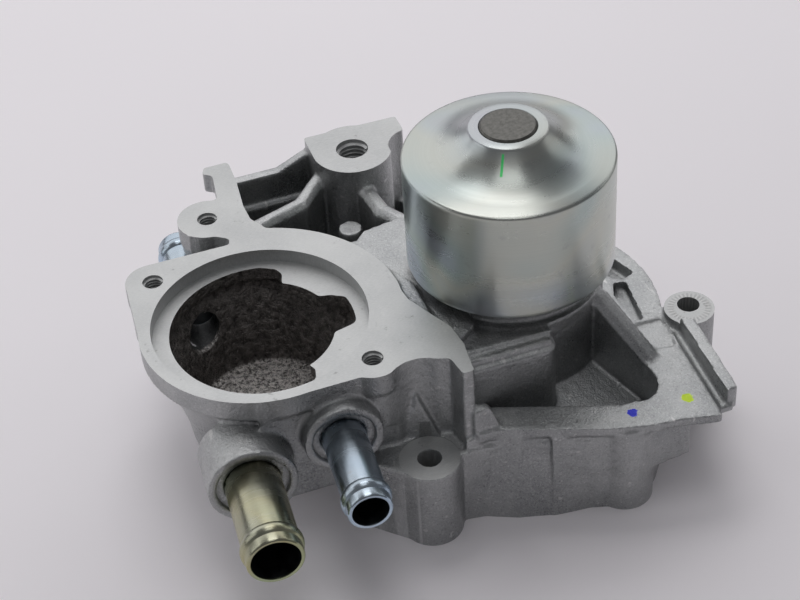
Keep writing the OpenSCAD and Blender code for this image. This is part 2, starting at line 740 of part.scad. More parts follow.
// Everything that is cut out of the casting
module housing_cavities() {
    // Thermostat recess, throat and chamber
    at_thermo() {
        translate([0, 0, plate_z - seat_depth]) cylinder(h = seat_depth + eps, r = seat_r);
        translate([0, 0, plate_z - seat_depth - throat_t])
            linear_extrude(height = throat_t + 1) throat_outline();
        rotate_extrude()
            polygon(concat(
                [[0, throat_low_z], [0, chamber_floor_z], [20.4, chamber_floor_z]], inner_bowl,
                [[throat_r + 1.5, 43.5], [throat_r + 1.5, throat_low_z]]));
    }
    // Duct from the thermostat chamber to the suction chamber
    slab(21.5, 36) polygon([[-56, -7], [-22, -9], [-22, 9], [-56, 9]]);
    // Suction chamber round the seal's tower, and the impeller's chamber
    difference() {
        post_at([0, 0], volute_high_z - eps, suction_high_z, suction_r);
        post_at([0, 0], volute_high_z + 6, suction_high_z + eps, seal_tower_r);
    }
    post_at([0, 0], -eps, volute_high_z, volute_r);
    slab(-eps, volute_high_z - 1)
        polygon([[-18, -26], [-43, -21], [-43, 24], [-18, 27]]);
    // Seal bore, weep chamber, weep hole and bearing bore
    post_at([0, 0], volute_high_z, cup_low_z, cup_flange_r + 0.2);
    post_at([0, 0], cup_low_z - eps, cup_high_z, cup_r);
    post_at([0, 0], weep_low_z - eps, ring_low_z + eps, weep_r);
    post_at([0, 0], ring_low_z, nose_z + eps, ring_r);
    translate([0, 0, weep_hole_z]) rotate([-90, 0, 0]) cylinder(h = 50, r = weep_hole_r);
    // Mounting bolts and the dowel
    for (place = [front_boss, lug, back_boss, right_boss, corner_boss])
        post_at(place, -eps, plate_z + eps, bolt_hole_r);
    post_at(dowel_boss, -eps, dowel_depth, dowel_r);
    difference() {
        slab(front_boss_z, plate_z + eps) {
            translate(front_boss) circle(r = scallop_r);
            polygon([[-38.7, -32.8], [-32.2, -35.1], [-31.2, -42.2], [-31.2, -43.2], [-36, -43.2]]);
        }
        scallop_gusset();
    }
    // Tapped holes
    for (side = [0, 180])
        at_thermo() rotate(cover_angle + side) translate([cover_pcd / 2, 0, 0])
            tapped_hole(plate_z, cover_hole_r, cover_hole_mouth_r, cover_hole_depth);
    translate([belt_hole[0], belt_hole[1], 0])
        tapped_hole(plate_z, cover_hole_r, cover_hole_mouth_r, belt_hole_depth);
    translate([bracket_hole[0], bracket_hole[1], 0])
        tapped_hole(bracket_z, bracket_hole_r, bracket_hole_mouth_r, bracket_hole_depth);
    // Pipe sockets, each with a shallow relief at its face
    at_front_pipe(large_boss) pipe_socket(large_pipe_r, 10.2, 18);
    at_front_pipe(small_boss) pipe_socket(small_pipe_r, 8.8, 18);
    at_rear_pipe() pipe_socket(rear_pipe_r, 8.4, 24);
    // Shallow recesses in the deck: two behind the rib, and one at its foot
    slab(deck_z - 2.8, deck_z + eps)
        polygon([[33, -18.4], [34.4, -17.4], [36.6, -0.6], [33, 0.2], [31, -5], [31.2, -9]]);
    slab(deck_z - 4, deck_z + eps)
        polygon([[36.6, 0.9], [40.6, 2.6], [37.6, 11.4], [33.6, 15], [30.6, 12], [33.4, 3]]);
    slab(deck_z - 0.8, deck_z + eps)
        polygon([[32.4, -31.6], [38, -32.3], [39.5, -26], [39.2, -19.6], [31, -18.9], [28.6, -25]]);
    // Hollows under the rear floor, between the walls
    slab(-eps, slab_z - 4) round_pocket([-61, 52], [-40, 70], 3);
    slab(-eps, slab_z - 4) round_pocket([-58, -2], [-47, 46], 3);
}

module tapped_hole(face_z, r, mouth_r, depth) {
    translate([0, 0, face_z - depth]) cylinder(h = depth + eps, r = r);
    translate([0, 0, face_z - (mouth_r - r)]) cylinder(h = mouth_r - r, r1 = r, r2 = mouth_r);
    translate([0, 0, face_z - 0.01]) cylinder(h = eps, r = mouth_r);
}

module pipe_socket(r, relief_r, depth) {
    rotate([0, -90, 0]) {
        translate([0, 0, -eps]) cylinder(h = pipe_in + eps, r = r);
        translate([0, 0, -eps]) cylinder(h = 1.6 + eps, r = relief_r);
        cylinder(h = depth + 4, r = r - 1.4);
    }
}

module pump_housing() {
    color("darkgray")
    difference() {
        union() {
            difference() {
                union() {
                    housing_base();
                    housing_bosses();
                }
                slab(14, 60) front_pocket_outline();
                slab(slab_z, 60)
                    polygon([[-66.6, 40], [-66.6, wall_y - 2], [-12, wall_y - 2], [-12, 36], [-22, 30],
                             [-60, 30]]);
            }
            housing_centre();
            housing_chamber();
            housing_back();
            front_rib();
            pocket_floor();
        }
        housing_cavities();
    }
}

// Sloping floor of the front pocket
module pocket_floor() {
    intersection() {
        rotate_extrude() polygon([[24, 6], [24, 25], [27, 24.4], [44, 17.5], [44, 6]]);
        slab(5, 40)
            polygon([[-26, -26], [-26, -40], [14, -47], [18, -50.6], [28.4, -46], [28.4, -37], [17, -16]]);
    }
}

// Rib from the pedestal down to the deck, past the front pocket's right-hand end
module front_rib() {
    turn = atan2(rib_low[1] - rib_high[1], rib_low[0] - rib_high[0]);
    run = norm([rib_low[0] - rib_high[0], rib_low[1] - rib_high[1]]);
    slab(0, deck_z) polygon([[19, -20], [28.2, -35], [28, -41], [33.8, -36], [30, -4], [24, -8]]);
    for (step = [0, 1])
        translate([rib_high[0], rib_high[1], 0]) rotate(turn) rotate([90, 0, 0])
            linear_extrude(height = 2 * front_rib_r - 3 * step, center = true)
                polygon([[-8, 0], [-8, rib_high[2] - 1.3 * (1 - step)], [0, rib_high[2] - 1.3 * (1 - step)],
                         [run, rib_low[2] - 1.3 * (1 - step)], [run, 0]]);
}

pump_housing();
pulley();
bearing_shaft();
bearing_outer_ring();
bearing_balls();
ball_cage();
bearing_rollers();
roller_cage();
front_bearing_seal();
rear_bearing_seal();
seal_cup();
seal_bellows();
seal_spring();
seal_ferrule();
carbon_ring();
mating_ring();
mating_ring_cup();
seal_sleeve();
impeller_hub();
impeller();
large_hose_pipe();
small_hose_pipe();
rear_hose_pipe();
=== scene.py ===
"""The looks of a die-cast water pump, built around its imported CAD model."""

import json
import math
from collections import namedtuple

import bmesh
import bpy
import numpy as np
from mathutils import Matrix, Vector


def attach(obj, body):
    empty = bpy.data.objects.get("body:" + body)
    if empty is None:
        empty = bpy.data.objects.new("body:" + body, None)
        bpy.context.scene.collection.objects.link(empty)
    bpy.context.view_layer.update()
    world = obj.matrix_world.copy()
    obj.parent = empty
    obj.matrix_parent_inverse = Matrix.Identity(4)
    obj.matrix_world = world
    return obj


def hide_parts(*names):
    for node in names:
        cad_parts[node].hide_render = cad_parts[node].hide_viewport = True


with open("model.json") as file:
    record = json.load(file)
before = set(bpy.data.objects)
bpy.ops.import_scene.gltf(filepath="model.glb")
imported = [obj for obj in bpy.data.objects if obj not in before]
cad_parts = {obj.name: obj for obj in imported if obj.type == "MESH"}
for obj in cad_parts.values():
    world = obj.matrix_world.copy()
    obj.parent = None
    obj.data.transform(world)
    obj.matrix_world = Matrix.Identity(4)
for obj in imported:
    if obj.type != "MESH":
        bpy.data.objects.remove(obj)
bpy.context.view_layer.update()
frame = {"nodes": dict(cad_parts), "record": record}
MM = 0.001

# Heights and places of the machined faces, in millimetres, as in the CAD model
PLATE_Z = 54.5
SEAT_Z = 50.2
BRACKET_Z = 56.0
FRONT_BOSS_Z = 26.35
LUG_Z = 34.0
THERMO = (-75.5, 1.2)
SEAT_R = 30.75
COVER_PCD = 73.5
COVER_ANGLE = 130.5
BELT_HOLE = (-77.0, 51.3)
BRACKET_HOLE = (-26.2, 65.4)
FRONT_BOSS = (-42.0, -42.0)
LUG = (48.0, -19.5)
LUG_RING = (47.6, -20.9)
BOLT_BOSSES = [FRONT_BOSS, LUG, (4.0, 66.0), (33.0, 38.0), (-52.0, 83.5)]
BOLT_HOLE_R = 3.3
BLUE_DAB = (14.6, -52.9)
GREEN_DAB = (31.0, -53.2)
PAINT_LINE_ANGLE = 241
# Outside of the thermostat chamber's bowl, as (radius, height), and the thickness of its wall
BOWL = [(23.4, 16), (24.2, 23), (25.2, 28), (26.2, 32), (27.6, 36), (29.4, 40), (31.4, 44)]
BOWL_WALL = 2.9
# A hose pipe's place on its boss, turn round Z, outer radius and the radius of the relief round it
Socket = namedtuple("Socket", "place turn radius relief_r")
LARGE_SOCKET = Socket((-91.7, -40.2, 33), -94.5, 7.9, 10.2)
SMALL_SOCKET = Socket((-64.5, -37.8, 38), -94.5, 6.2, 8.8)
REAR_SOCKET = Socket((-86.3, 45, 36), 86, 6.2, 8.4)
FRONT_PIPE_OUT = 28
REAR_PIPE_OUT = 20
PIPE_WALL = 1.2
# Tapped holes
ThreadSize = namedtuple("ThreadSize", "minor_r major_r mouth_r pitch")
TappedHole = namedtuple("TappedHole", "centre face_z size depth")
M6 = ThreadSize(2.5, 3.0, 3.3, 1.0)
M10 = ThreadSize(4.25, 5.0, 5.4, 1.5)
# A face or wall counts as machined when it is this close to its stated place
NEAR = 0.02


# ---------------------------------------------------------------- node materials


class Nodes:
    """A short way to build a node tree: each call adds a node and returns its first output."""

    def __init__(self, tree):
        self.tree = tree

    def feed(self, socket, value):
        """Links value to the socket, or sets it there where it is a plain number or colour."""
        if isinstance(value, bpy.types.NodeSocket):
            self.tree.links.new(value, socket)
        else:
            socket.default_value = value

    def add(self, kind, out=0, props=None, **inputs):
        """Inputs go by name, or by place as i0, i1 and so on."""
        node = self.tree.nodes.new(kind)
        for key, value in (props or {}).items():
            setattr(node, key, value)
        for key, value in inputs.items():
            by_place = key[0] == "i" and key[1:].isdigit()
            self.feed(node.inputs[int(key[1:]) if by_place else key.replace("_", " ")], value)
        return node.outputs[out]

    def object_space(self, scale=(1, 1, 1)):
        coords = self.add("ShaderNodeTexCoord", out=3)
        return self.add("ShaderNodeMapping", Vector=coords, Scale=scale)

    def noise(self, vector, scale, detail=4, rough=0.6, distortion=0.0):
        return self.add("ShaderNodeTexNoise", Vector=vector, Scale=scale, Detail=detail,
                        Roughness=rough, Distortion=distortion)

    def ramp(self, value, low, high, to_low=0.0, to_high=1.0):
        return self.add("ShaderNodeMapRange", Value=value, i1=low, i2=high, i3=to_low, i4=to_high)

    def math(self, operation, a, b=0.0):
        return self.add("ShaderNodeMath", props={"operation": operation}, i0=a, i1=b)

    def vector_math(self, operation, a, b):
        """A vector."""
        return self.add("ShaderNodeVectorMath", props={"operation": operation}, i0=a, i1=b)

    def length(self, vector):
        return self.add("ShaderNodeVectorMath", out=1, props={"operation": "LENGTH"}, i0=vector)

    def dot(self, a, b):
        return self.add("ShaderNodeVectorMath", out=1, props={"operation": "DOT_PRODUCT"}, i0=a, i1=b)

    def split(self, vector):
        """The x, y and z of a vector."""
        node = self.tree.nodes.new("ShaderNodeSeparateXYZ")
        self.tree.links.new(vector, node.inputs[0])
        return node.outputs

    def mix(self, factor, a, b):
        node = self.tree.nodes.new("ShaderNodeMix")
        node.data_type = "RGBA"
        for place, value in ((0, factor), (6, a), (7, b)):
            self.feed(node.inputs[place], value)
        return node.outputs[2]

    def facing_up(self, low, high):
        """0 on walls to 1 on level faces that look up."""
        normal = self.add("ShaderNodeNewGeometry", out=1)
        return self.ramp(self.dot(normal, (0, 0, 1)), low, high)

    def edges(self):
        """Above 0.5 on outer edges and below it in corners."""
        return self.add("ShaderNodeNewGeometry", out=7)

    def bands(self, value, colours):
        """Blends through the colours, evenly spaced, as value goes from 0 to 1."""
        node = self.tree.nodes.new("ShaderNodeValToRGB")
        stops = node.color_ramp.elements
        while len(stops) < len(colours):
            stops.new(0.5)
        for k, colour in enumerate(colours):
            stops[k].position = k / (len(colours) - 1)
            stops[k].color = colour
        self.tree.links.new(value, node.inputs[0])
        return node.outputs[0]

    def bump(self, height, strength, distance):
        return self.add("ShaderNodeBump", Height=height, Strength=strength, Distance=distance)


def rgb(r, g, b):
    return (r, g, b, 1.0)


def material(name):
    """A new material, with its node helper and its Principled shader."""
    mat = bpy.data.materials.new(name)
    mat.use_nodes = True
    tree = mat.node_tree
    tree.nodes.clear()
    shader = tree.nodes.new("ShaderNodeBsdfPrincipled")
    output = tree.nodes.new("ShaderNodeOutputMaterial")
    tree.links.new(shader.outputs[0], output.inputs[0])
    return mat, Nodes(tree), shader


def wire(nodes, shader, **sockets):
    for key, value in sockets.items():
        nodes.feed(shader.inputs[key.replace("_", " ")], value)


def spot(n, place, centre, radius, ragged=0.35):
    """1 inside a slightly ragged round spot at centre (x, y) in millimetres, 0 outside."""
    offset = n.vector_math("SUBTRACT", place, (centre[0] * MM, centre[1] * MM, 0))
    away = n.length(n.vector_math("MULTIPLY", offset, (1, 1, 0)))
    wobble = n.ramp(n.noise(place, 700, detail=2), 0.3, 0.7, -ragged, ragged)
    reach = n.math("ADD", n.math("DIVIDE", away, radius * MM), wobble)
    return n.ramp(reach, 1.1, 0.9)


def cast_metal():
    """As-cast aluminium: dark grey skin with painted glints, cloudy stains, worn bright edges, painted shade in
    corners and two paint dabs.
    """
    mat, n, shader = material("cast_aluminium")
    place = n.object_space()
    # Cloudy grey with a fine grain
    clouds = n.noise(place, 45, detail=5)
    grain = n.noise(place, 1700, detail=3, rough=0.7)
    peel = n.noise(place, 420, detail=3, rough=0.55)
    tone = n.mix(n.ramp(clouds, 0.35, 0.7), rgb(0.31, 0.32, 0.325), rgb(0.48, 0.49, 0.49))
    tone = n.mix(n.ramp(grain, 0.54, 0.72, 0.0, 0.4), tone, rgb(0.80, 0.80, 0.79))
    tone = n.mix(n.ramp(grain, 0.44, 0.30, 0.0, 0.45), tone, rgb(0.10, 0.10, 0.10))
    # Stains, scuffs and painted glints
    stain = n.ramp(n.noise(place, 130, detail=6, distortion=0.5), 0.60, 0.72, 0.0, 0.3)
    tone = n.mix(stain, tone, rgb(0.10, 0.10, 0.10))
    scuff = n.noise(n.object_space((1.0, 0.25, 1.0)), 420, detail=1)
    tone = n.mix(n.ramp(scuff, 0.72, 0.77, 0.0, 0.6), tone, rgb(0.66, 0.66, 0.65))
    # Painted glints: near-white specks mixed into the colour
    painted_glints = n.noise(place, 2600, detail=1)
    tone = n.mix(n.ramp(painted_glints, 0.66, 0.74, 0.0, 0.35), tone, rgb(0.95, 0.95, 0.94))
    # Rubbed bright on outer edges as wear, and painted shade darkening the corners
    edge = n.edges()
    tone = n.mix(n.ramp(edge, 0.55, 0.66, 0.0, 0.4), tone, rgb(0.80, 0.81, 0.81))
    # Painted shade: corners and creases darkened
    tone = n.mix(n.ramp(edge, 0.47, 0.40, 0.0, 0.6), tone, rgb(0.08, 0.08, 0.08))
    # Paint dabs, on the deck only
    on_top = n.ramp(n.split(place)[2], 31.0 * MM, 31.6 * MM)
    blue = n.math("MULTIPLY", spot(n, place, BLUE_DAB, 1.5), on_top)
    green = n.math("MULTIPLY", spot(n, place, GREEN_DAB, 1.7), on_top)
    tone = n.mix(blue, tone, rgb(0.0, 0.01, 0.70))
    tone = n.mix(green, tone, rgb(0.70, 0.95, 0.0))
    paint = n.math("MAXIMUM", blue, green)
    rough = n.math("ADD", n.ramp(clouds, 0.3, 0.7, 0.27, 0.39), n.ramp(grain, 0.3, 0.7, -0.05, 0.05))
    rough = n.math("ADD", rough, n.math("MULTIPLY", n.facing_up(0.55, 0.95), 0.06))
    height = n.math("ADD", n.math("MULTIPLY", grain, 0.4), n.math("MULTIPLY", peel, 0.6))
    wire(n, shader, Base_Color=tone, Metallic=n.ramp(paint, 0.0, 1.0, 0.88, 0.0), Roughness=rough,
         Normal=n.bump(height, 0.6, 0.0008))
    return mat


def core_with_painted_shade_metal():
    """The skin left by the sand core inside the chamber: coarse, with painted shade making it very dark, and
    painted light as glittering flecks on faces that look up.
    """
    mat, n, shader = material("core_skin_painted_shade")
    place = n.object_space()
    coarse = n.noise(place, 480, detail=4, rough=0.65)
    fine = n.noise(place, 1050, detail=2, rough=0.7)
    # Painted shade: very dark tones for the shaded chamber
    tone = n.mix(n.ramp(coarse, 0.35, 0.7), rgb(0.08, 0.074, 0.070), rgb(0.30, 0.28, 0.265))
    tone = n.mix(n.ramp(fine, 0.60, 0.72, 0.0, 0.5), tone, rgb(0.50, 0.46, 0.43))
    # Painted light: bright glitter flecks on faces that look up, as lit floors and glints
    painted_lit_glitter = n.mix(n.ramp(fine, 0.38, 0.58), rgb(0.20, 0.19, 0.18), rgb(0.95, 0.91, 0.88))
    tone = n.mix(n.facing_up(0.5, 0.95), tone, painted_lit_glitter)
    height = n.math("ADD", coarse, n.math("MULTIPLY", fine, 0.4))
    wire(n, shader, Base_Color=tone, Metallic=0.8, Roughness=n.ramp(fine, 0.3, 0.7, 0.26, 0.46),
         Normal=n.bump(height, 1.0, 0.0016))
    return mat


def serrated_ring(n, place):
    """The crimped ring on the lug: where it is, and its teeth, each from 0 to 1."""
    tooth_count = 30.0
    offset = n.vector_math("SUBTRACT", place, (LUG_RING[0] * MM, LUG_RING[1] * MM, LUG_Z * MM))
    x, y, _ = n.split(offset)
    away = n.length(offset)
    teeth = n.math("SINE", n.math("MULTIPLY", n.math("ARCTAN2", y, x), tooth_count))
    ring = n.math("MULTIPLY", n.ramp(away, 4.4 * MM, 4.8 * MM), n.ramp(away, 6.6 * MM, 6.2 * MM))
    return ring, n.math("MULTIPLY", n.ramp(teeth, -0.4, 0.4), ring)


def milled_metal():
    """Milled aluminium: pale satin grey with fine cutter arcs and stains, and the ring on the lug."""
    mat, n, shader = material("milled_aluminium")
    place = n.object_space()
    clouds = n.noise(place, 60, detail=5)
    marks = n.noise(n.object_space((1.0, 7.0, 1.0)), 900, detail=2)
    tone = n.mix(n.ramp(clouds, 0.35, 0.7), rgb(0.40, 0.41, 0.41), rgb(0.48, 0.49, 0.485))
    tone = n.mix(n.ramp(marks, 0.4, 0.7, 0.0, 0.4), tone, rgb(0.66, 0.665, 0.66))
    stain = n.ramp(n.noise(place, 300, detail=4), 0.66, 0.72, 0.0, 0.5)
    tone = n.mix(stain, tone, rgb(0.16, 0.16, 0.155))
    ring, teeth = serrated_ring(n, place)
    tone = n.mix(n.math("MULTIPLY", ring, 0.35), tone, rgb(0.22, 0.22, 0.22))
    tone = n.mix(n.math("MULTIPLY", teeth, 0.4), tone, rgb(0.70, 0.70, 0.69))
    rough = n.ramp(marks, 0.3, 0.7, 0.36, 0.5)
    height = n.math("ADD", n.math("MULTIPLY", marks, 0.4), teeth)
    wire(n, shader, Base_Color=tone, Metallic=0.62, Roughness=rough, Normal=n.bump(height, 0.3, 0.0003))
    return mat


def paint_dash(n, place, height):
    """1 on the green inspection dash across the pulley's flare, 0 elsewhere."""
    a = math.radians(PAINT_LINE_ANGLE)
    along = n.dot(place, (math.cos(a), math.sin(a), 0))
    across = n.dot(place, (-math.sin(a), math.cos(a), 0))
    dash = n.ramp(n.math("ABSOLUTE", across), 0.45 * MM, 0.25 * MM)
    dash = n.math("MULTIPLY", dash, n.ramp(along, 11.5 * MM, 11.9 * MM))
    dash = n.math("MULTIPLY", dash, n.ramp(along, 17.0 * MM, 16.6 * MM))
    dash = n.math("MULTIPLY", dash, n.ramp(n.noise(place, 900, detail=2), 0.2, 0.35, 0.6, 1.0))
    return n.math("MULTIPLY", dash, n.ramp(height, 89 * MM, 90 * MM))


def zinc_metal(name, tints, rough_low=0.24, rough_high=0.3, paint_line=False):
    """Turned steel with bright zinc plating: soft tints that drift over it, fine turning lines, and painted
    shade on faces that look up.
    """
    mat, n, shader = material(name)
    place = n.object_space()
    height = n.split(place)[2]
    radius = n.length(n.vector_math("MULTIPLY", place, (1, 1, 0)))
    drift = n.noise(place, 26, detail=1, distortion=0.6)
    ring_place = n.add("ShaderNodeCombineXYZ", X=radius, Y=0.0, Z=height)
    lines = n.noise(ring_place, 2600, detail=2)
    bands = n.noise(ring_place, 260, detail=2)
    tone = n.bands(n.ramp(drift, 0.3, 0.7), tints)
    tone = n.mix(n.ramp(lines, 0.4, 0.65, 0.0, 0.10), tone, rgb(0.85, 0.86, 0.84))
    stain = n.ramp(n.noise(place, 160, detail=5), 0.62, 0.7, 0.0, 0.25)
    tone = n.mix(stain, tone, rgb(0.30, 0.31, 0.32))
    # Painted shade: faces that look up are darkened
    tone = n.mix(n.math("MULTIPLY", n.facing_up(0.3, 0.7), 0.5), tone, rgb(0.20, 0.21, 0.21))
    metallic = 1.0
    if paint_line:
        dash = paint_dash(n, place, height)
        tone = n.mix(dash, tone, rgb(0.06, 0.62, 0.16))
        metallic = n.ramp(dash, 0.0, 1.0, 1.0, 0.2)
    rough = n.math("ADD", n.ramp(bands, 0.3, 0.7, rough_low, rough_high),
                   n.ramp(n.noise(place, 90), 0.3, 0.7, 0.0, 0.04))
    tangent = n.add("ShaderNodeTangent", props={"direction_type": "RADIAL", "axis": "Z"})
    wire(n, shader, Base_Color=tone, Metallic=metallic, Roughness=rough, Normal=n.bump(lines, 0.02, 0.0001),
         Anisotropic=0.6, Anisotropic_Rotation=0.25, Tangent=tangent)
    return mat


def plain_steel(name, dark, light, rough=(0.35, 0.5), scale=120):
    """Bare or dark steel, or brass, a little cloudy."""
    mat, n, shader = material(name)
    place = n.object_space()
    clouds = n.noise(place, scale, detail=5)
    tone = n.mix(n.ramp(clouds, 0.35, 0.7), dark, light)
    wire(n, shader, Base_Color=tone, Metallic=1.0, Roughness=n.ramp(clouds, 0.3, 0.7, *rough),
         Normal=n.bump(n.noise(place, 900), 0.15, 0.0002))
    return mat


def dull(name, dark, light, rough=(0.5, 0.7), scale=200):
    """Rubber, nylon, carbon or ceramic: not metal, a little mottled."""
    mat, n, shader = material(name)
    place = n.object_space()
    clouds = n.noise(place, scale, detail=4)
    tone = n.mix(n.ramp(clouds, 0.35, 0.7), dark, light)
    wire(n, shader, Base_Color=tone, Metallic=0.0, Roughness=n.ramp(clouds, 0.3, 0.7, *rough),
         Normal=n.bump(n.noise(place, 1500), 0.2, 0.0002))
    return mat


ZINC_TINTS = [rgb(0.51, 0.51, 0.56), rgb(0.51, 0.56, 0.57), rgb(0.56, 0.58, 0.52), rgb(0.46, 0.54, 0.52),
              rgb(0.46, 0.52, 0.59)]
YELLOW_TINTS = [rgb(0.40, 0.43, 0.36), rgb(0.46, 0.43, 0.22), rgb(0.38, 0.44, 0.26), rgb(0.40, 0.47, 0.44)]
BLUE_TINTS = [rgb(0.56, 0.65, 0.72), rgb(0.47, 0.60, 0.74), rgb(0.62, 0.68, 0.68)]

MATERIALS = {
    "cast_aluminium": cast_metal(),
    "milled": milled_metal(),
    # core: the chamber's core skin with painted shade and painted lit glitter
    "core": core_with_painted_shade_metal(),
    "zinc_steel": zinc_metal("zinc_steel", ZINC_TINTS, paint_line=True),
    "yellow_zinc": zinc_metal("yellow_zinc", YELLOW_TINTS, 0.2, 0.28),
    "blue_zinc": zinc_metal("blue_zinc", BLUE_TINTS, 0.2, 0.28),
    "pipe_bore": plain_steel("pipe_bore", rgb(0.06, 0.065, 0.07), rgb(0.12, 0.13, 0.135), (0.3, 0.45), 300),
    "shaft_steel": plain_steel("shaft_steel", rgb(0.09, 0.09, 0.083), rgb(0.16, 0.157, 0.148), (0.4, 0.5), 900),
    "bearing_steel": plain_steel("bearing_steel", rgb(0.5, 0.5, 0.5), rgb(0.6, 0.6, 0.6), (0.2, 0.3)),
    "impeller_steel": plain_steel("impeller_steel", rgb(0.38, 0.38, 0.37), rgb(0.5, 0.5, 0.49)),
    "spring_steel": plain_steel("spring_steel", rgb(0.45, 0.45, 0.45), rgb(0.6, 0.6, 0.6)),
    "seal_brass": plain_steel("seal_brass", rgb(0.60, 0.42, 0.16), rgb(0.72, 0.54, 0.25), (0.25, 0.4)),
    "cage_nylon": dull("cage_nylon", rgb(0.62, 0.55, 0.40), rgb(0.70, 0.64, 0.48)),
    "seal_rubber": dull("seal_rubber", rgb(0.012, 0.012, 0.012), rgb(0.03, 0.03, 0.03)),
    "carbon": dull("carbon", rgb(0.02, 0.02, 0.02), rgb(0.05, 0.05, 0.05), (0.25, 0.4)),
    "ceramic_ring": dull("ceramic_ring", rgb(0.70, 0.68, 0.62), rgb(0.80, 0.78, 0.74), (0.15, 0.25)),
}


# ---------------------------------------------------------------- mesh helpers


def new_object(name, mesh):
    obj = bpy.data.objects.new(name, mesh)
    bpy.context.scene.collection.objects.link(obj)
    return obj


def mesh_from(name, points, faces):
    """A mesh from points in millimetres."""
    mesh = bpy.data.meshes.new(name)
    mesh.from_pydata([tuple(c * MM for c in p) for p in points], [], faces)
    mesh.validate()
    return mesh


def lathe(name, profile, steps):
    """A solid of revolution round Z. profile is a closed loop of (radius, height) in millimetres."""
    points = []
    for i in range(steps):
        a = 2 * math.pi * i / steps
        points += [(r * math.cos(a), r * math.sin(a), z) for r, z in profile]
    n = len(profile)
    faces = []
    for i in range(steps):
        j = (i + 1) % steps
        for k in range(n):
            m = (k + 1) % n
            faces.append((i * n + k, j * n + k, j * n + m, i * n + m))
    mesh = mesh_from(name, points, faces)
    bm = bmesh.new()
    bm.from_mesh(mesh)
    bmesh.ops.remove_doubles(bm, verts=bm.verts, dist=1e-6)
    bmesh.ops.recalc_face_normals(bm, faces=bm.faces)
    bm.to_mesh(mesh)
    bm.free()
    return mesh


def smooth(mesh, angle):
    mesh.shade_smooth()
    mesh.set_sharp_from_angle(angle=math.radians(angle))


def prism(name, outline, low_z, high_z):
    n = len(outline)
    points = [(x, y, low_z) for x, y in outline] + [(x, y, high_z) for x, y in outline]
    faces = [tuple(range(n - 1, -1, -1)), tuple(range(n, 2 * n))]
    faces += [(k, (k + 1) % n, n + (k + 1) % n, n + k) for k in range(n)]
    return mesh_from(name, points, faces)


def circle_points(centre, radius, steps=96):
    return [(centre[0] + radius * math.cos(2 * math.pi * k / steps),
             centre[1] + radius * math.sin(2 * math.pi * k / steps)) for k in range(steps)]


def polar(centre, angle, radius):
    a = math.radians(angle)
    return (centre[0] + radius * math.cos(a), centre[1] + radius * math.sin(a))


def apply_modifiers(obj):
    """Bakes the object's modifiers into its mesh."""
    graph = bpy.context.evaluated_depsgraph_get()
    mesh = bpy.data.meshes.new_from_object(obj.evaluated_get(graph), depsgraph=graph)
    obj.modifiers.clear()
    obj.data = mesh


def cut(obj, cutters):
    """Cuts closed meshes out of obj."""
    for mesh in cutters:
        tool = new_object("cutter", mesh)
        boolean = obj.modifiers.new("cut", "BOOLEAN")
        boolean.operation = "DIFFERENCE"
        boolean.solver = "MANIFOLD"
        boolean.object = tool
        apply_modifiers(obj)
        bpy.data.objects.remove(tool)


# ---------------------------------------------------------------- housing


def cast_blank():
    """The CAD housing with rounded edges and fillets, and spare metal where a face is milled later."""
    spare, lug_spare, lug_top_r = 2.5, 2.0, 7.6
    mesh = frame["nodes"]["pump_housing"].data.copy()
    xyz = np.empty(len(mesh.vertices) * 3)
    mesh.vertices.foreach_get("co", xyz)
    xyz = xyz.reshape(-1, 3)
    on_lug = np.hypot(xyz[:, 0] - LUG_RING[0] * MM, xyz[:, 1] - LUG_RING[1] * MM) < lug_top_r * MM
    everywhere = np.ones(len(xyz), dtype=bool)
    for height, move, where in ((PLATE_Z, spare, everywhere), (SEAT_Z, spare, everywhere),
                                (BRACKET_Z, spare, everywhere), (LUG_Z, lug_spare, on_lug),
                                (0.0, -spare, everywhere)):
        face = where & (np.abs(xyz[:, 2] - height * MM) < NEAR * MM)
        xyz[face, 2] += move * MM
    mesh.vertices.foreach_set("co", xyz.ravel())
    blank = new_object("housing", mesh)
    weld = blank.modifiers.new("weld", "WELD")
    weld.merge_threshold = 1e-6
    remesh = blank.modifiers.new("remesh", "REMESH")
    remesh.mode = "VOXEL"
    remesh.voxel_size = 0.55 * MM
    soften = blank.modifiers.new("soften", "SMOOTH")
    soften.factor = 0.5
    soften.iterations = 4
    thin = blank.modifiers.new("thin", "DECIMATE")
    thin.ratio = 0.4
    apply_modifiers(blank)
    return blank


def thread(hole):
    """The ridge of a tapped thread, as a closed helical strip whose root is buried in the metal."""
    steps = 40
    buried, runout = 0.25, 2.5
    crest, root = 0.07, 0.46
    minor_r, major_r, mouth_r, pitch = hole.size
    top_z = hole.face_z - (mouth_r - minor_r) - 0.3 * pitch
    section = [(major_r + buried, root * pitch), (minor_r, crest * pitch), (minor_r, -crest * pitch),
               (major_r + buried, -root * pitch)]
    turns = (hole.depth - runout) / pitch
    points, faces = [], []
    count = int(turns * steps)
    for i in range(count + 1):
        a = 2 * math.pi * i / steps
        z = top_z - pitch * i / steps
        points += [(hole.centre[0] + r * math.cos(a), hole.centre[1] + r * math.sin(a), z + dz)
                   for r, dz in section]
    for i in range(count):
        for k in range(4):
            m = (k + 1) % 4
            faces.append((i * 4 + k, i * 4 + m, i * 4 + 4 + m, i * 4 + 4 + k))
    faces += [(3, 2, 1, 0), tuple(count * 4 + k for k in range(4))]
    return mesh_from("thread", points, faces)


def face_data(mesh):
    """Middle points of a mesh's faces, in millimetres, and their normals."""
    middle = np.empty(len(mesh.polygons) * 3)
    normal = np.empty(len(mesh.polygons) * 3)
    mesh.polygons.foreach_get("center", middle)
    mesh.polygons.foreach_get("normal", normal)
    return middle.reshape(-1, 3) / MM, normal.reshape(-1, 3)


